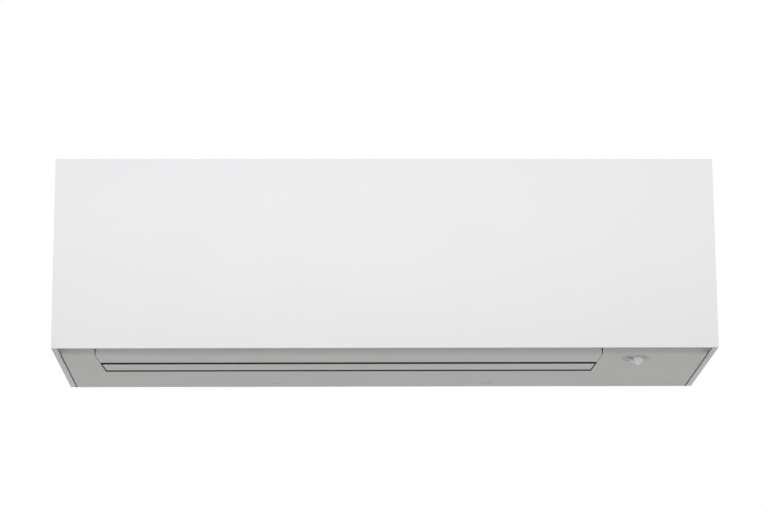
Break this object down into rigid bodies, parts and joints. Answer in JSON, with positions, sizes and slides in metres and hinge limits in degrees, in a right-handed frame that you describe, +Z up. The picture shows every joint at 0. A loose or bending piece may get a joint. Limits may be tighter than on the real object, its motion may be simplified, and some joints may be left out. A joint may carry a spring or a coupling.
{
  "type": "mini split indoor unit",
  "caption": "Flat white wall-mounted indoor unit with a lifting front panel, pull-out filters, folded coil, cross-flow fan, linked steering vanes and two outlet flaps under a slanted underside.",
  "frame": {"origin": "middle of the wall face of the mounting plate, at mid height of the front panel's box", "axes": "+X to the right seen from the room, +Y into the wall, +Z up"},
  "size_m": [0.998, 0.292, 0.303],
  "materials": {
    "white_plastic": "satin white moulded plastic",
    "warm_white_plastic": "fine-grained off-white plastic",
    "grey_plastic": "dark grey moulded plastic of the duct",
    "dark_plastic": "dark grey moulded plastic",
    "steel": "zinc-coated sheet steel",
    "aluminium": "bright rolled aluminium",
    "copper": "drawn copper tube",
    "brass": "turned brass",
    "rubber": "black rubber",
    "circuit_board": "green laminate with soldered parts"
  },
  "bodies": {
    "cabinet": {"side_panel_left": "white_plastic", "side_panel_right": "white_plastic", "front_casing": "warm_white_plastic", "top_grille": "warm_white_plastic", "sensor_bezel": "warm_white_plastic", "rear_chassis": "grey_plastic", "drain_pan": "grey_plastic", "motor_cover": "grey_plastic", "control_box": "grey_plastic", "control_box_cover": "grey_plastic", "pipe_clamp": "grey_plastic", "terminal_block": "dark_plastic", "air_thermistor": "dark_plastic", "mounting_plate": "steel", "fan_motor": "steel", "main_flap_motor": "steel", "rear_flap_motor": "steel", "vane_motor": "steel", "cable_clamp": "steel", "casing_screw_1": "steel", "casing_screw_2": "steel", "casing_screw_3": "steel", "casing_screw_4": "steel", "coil_front_leg": "aluminium", "coil_rear_leg": "aluminium", "coil_plate_left": "aluminium", "coil_plate_right": "aluminium", "gas_pipe": "copper", "liquid_pipe": "copper", "coil_thermistor": "copper", "gas_flare_nut": "brass", "liquid_flare_nut": "brass", "drain_plug": "rubber", "fan_bearing": "rubber", "circuit_board": "circuit_board"},
    "lifting_panel": {"front_panel": "white_plastic"},
    "left_filter": {"air_filter_left": "warm_white_plastic"},
    "right_filter": {"air_filter_right": "warm_white_plastic"},
    "front_flap": {"main_flap": "warm_white_plastic"},
    "back_flap": {"rear_flap": "warm_white_plastic"},
    "fan_rotor": {"cross_flow_fan": "dark_plastic", "motor_shaft": "steel"},
    "link_bar": {"vane_link": "warm_white_plastic"},
    "crank": {"vane_crank": "dark_plastic"},
    "sensor_eye": {"sensor_ball": "white_plastic", "sensor_lens": "warm_white_plastic"},
    "push_button": {"manual_button": "white_plastic"},
    "vane_01_blade": {"vane_01": "dark_plastic"},
    "vane_02_blade": {"vane_02": "dark_plastic"},
    "vane_03_blade": {"vane_03": "dark_plastic"},
    "vane_04_blade": {"vane_04": "dark_plastic"},
    "vane_05_blade": {"vane_05": "dark_plastic"},
    "vane_06_blade": {"vane_06": "dark_plastic"},
    "vane_07_blade": {"vane_07": "dark_plastic"},
    "vane_08_blade": {"vane_08": "dark_plastic"},
    "vane_09_blade": {"vane_09": "dark_plastic"},
    "vane_10_blade": {"vane_10": "dark_plastic"},
    "vane_11_blade": {"vane_11": "dark_plastic"},
    "vane_12_blade": {"vane_12": "dark_plastic"}
  },
  "joints": [
    {"name": "panel_hinge", "type": "hinge", "parent": "cabinet", "child": "lifting_panel", "pos_m": [0, -0.283, 0.145], "axis": [-1, 0, 0], "range_deg": [0, 65]},
    {"name": "left_filter_slide", "type": "slide", "parent": "cabinet", "child": "left_filter", "axis": [0, -0.4226, -0.9063], "range_m": [0, 0.2]},
    {"name": "right_filter_slide", "type": "slide", "parent": "cabinet", "child": "right_filter", "axis": [0, -0.4226, -0.9063], "range_m": [0, 0.2]},
    {"name": "main_flap_hinge", "type": "hinge", "parent": "cabinet", "child": "front_flap", "pos_m": [0, -0.194, -0.133], "axis": [1, 0, 0], "range_deg": [0, 65]},
    {"name": "rear_flap_hinge", "type": "hinge", "parent": "cabinet", "child": "back_flap", "pos_m": [0, -0.142, -0.133], "axis": [1, 0, 0], "range_deg": [0, 50]},
    {"name": "fan_axle", "type": "hinge", "parent": "cabinet", "child": "fan_rotor", "pos_m": [0, -0.124, -0.03], "axis": [1, 0, 0], "continuous": true},
    {"name": "vane_link_slide", "type": "slide", "parent": "cabinet", "child": "link_bar", "axis": [1, 0, 0], "range_m": [-0.007, 0.007]},
    {"name": "crank_hinge", "type": "hinge", "parent": "cabinet", "child": "crank", "pos_m": [-0.466, -0.21287, -0.09842], "axis": [0, 0.8004, -0.5995], "range_deg": [-31, 31]},
    {"name": "sensor_swivel", "type": "hinge", "parent": "cabinet", "child": "sensor_eye", "pos_m": [0.383, -0.215, -0.1405], "axis": [0, 0, 1], "range_deg": [-15, 15]},
    {"name": "button_travel", "type": "slide", "parent": "cabinet", "child": "push_button", "axis": [0, 1, 0], "range_m": [0, 0.0015], "stiffness_N_per_m": 400},
    {"name": "vane_01_pivot", "type": "hinge", "parent": "cabinet", "child": "vane_01_blade", "pos_m": [-0.40943, -0.21287, -0.09842], "axis": [0, 0.8004, -0.5995], "range_deg": [-31, 31]},
    {"name": "vane_02_pivot", "type": "hinge", "parent": "cabinet", "child": "vane_02_blade", "pos_m": [-0.3449, -0.21287, -0.09842], "axis": [0, 0.8004, -0.5995], "range_deg": [-31, 31]},
    {"name": "vane_03_pivot", "type": "hinge", "parent": "cabinet", "child": "vane_03_blade", "pos_m": [-0.28037, -0.21287, -0.09842], "axis": [0, 0.8004, -0.5995], "range_deg": [-31, 31]},
    {"name": "vane_04_pivot", "type": "hinge", "parent": "cabinet", "child": "vane_04_blade", "pos_m": [-0.21583, -0.21287, -0.09842], "axis": [0, 0.8004, -0.5995], "range_deg": [-31, 31]},
    {"name": "vane_05_pivot", "type": "hinge", "parent": "cabinet", "child": "vane_05_blade", "pos_m": [-0.1513, -0.21287, -0.09842], "axis": [0, 0.8004, -0.5995], "range_deg": [-31, 31]},
    {"name": "vane_06_pivot", "type": "hinge", "parent": "cabinet", "child": "vane_06_blade", "pos_m": [-0.08677, -0.21287, -0.09842], "axis": [0, 0.8004, -0.5995], "range_deg": [-31, 31]},
    {"name": "vane_07_pivot", "type": "hinge", "parent": "cabinet", "child": "vane_07_blade", "pos_m": [-0.02223, -0.21287, -0.09842], "axis": [0, 0.8004, -0.5995], "range_deg": [-31, 31]},
    {"name": "vane_08_pivot", "type": "hinge", "parent": "cabinet", "child": "vane_08_blade", "pos_m": [0.0423, -0.21287, -0.09842], "axis": [0, 0.8004, -0.5995], "range_deg": [-31, 31]},
    {"name": "vane_09_pivot", "type": "hinge", "parent": "cabinet", "child": "vane_09_blade", "pos_m": [0.10683, -0.21287, -0.09842], "axis": [0, 0.8004, -0.5995], "range_deg": [-31, 31]},
    {"name": "vane_10_pivot", "type": "hinge", "parent": "cabinet", "child": "vane_10_blade", "pos_m": [0.17137, -0.21287, -0.09842], "axis": [0, 0.8004, -0.5995], "range_deg": [-31, 31]},
    {"name": "vane_11_pivot", "type": "hinge", "parent": "cabinet", "child": "vane_11_blade", "pos_m": [0.2359, -0.21287, -0.09842], "axis": [0, 0.8004, -0.5995], "range_deg": [-31, 31]},
    {"name": "vane_12_pivot", "type": "hinge", "parent": "cabinet", "child": "vane_12_blade", "pos_m": [0.30043, -0.21287, -0.09842], "axis": [0, 0.8004, -0.5995], "range_deg": [-31, 31]}
  ],
  "couplings": [
    {"joint": "left_filter_slide", "follows": "panel_hinge", "m_per_rad": 0.176},
    {"joint": "right_filter_slide", "follows": "panel_hinge", "m_per_rad": 0.176},
    {"joint": "crank_hinge", "follows": "vane_link_slide", "rad_per_m": 74.8},
    {"joint": "vane_01_pivot", "follows": "vane_link_slide", "rad_per_m": 74.8},
    {"joint": "vane_02_pivot", "follows": "vane_link_slide", "rad_per_m": 74.8},
    {"joint": "vane_03_pivot", "follows": "vane_link_slide", "rad_per_m": 74.8},
    {"joint": "vane_04_pivot", "follows": "vane_link_slide", "rad_per_m": 74.8},
    {"joint": "vane_05_pivot", "follows": "vane_link_slide", "rad_per_m": 74.8},
    {"joint": "vane_06_pivot", "follows": "vane_link_slide", "rad_per_m": 74.8},
    {"joint": "vane_07_pivot", "follows": "vane_link_slide", "rad_per_m": 74.8},
    {"joint": "vane_08_pivot", "follows": "vane_link_slide", "rad_per_m": 74.8},
    {"joint": "vane_09_pivot", "follows": "vane_link_slide", "rad_per_m": 74.8},
    {"joint": "vane_10_pivot", "follows": "vane_link_slide", "rad_per_m": 74.8},
    {"joint": "vane_11_pivot", "follows": "vane_link_slide", "rad_per_m": 74.8},
    {"joint": "vane_12_pivot", "follows": "vane_link_slide", "rad_per_m": 74.8}
  ]
}
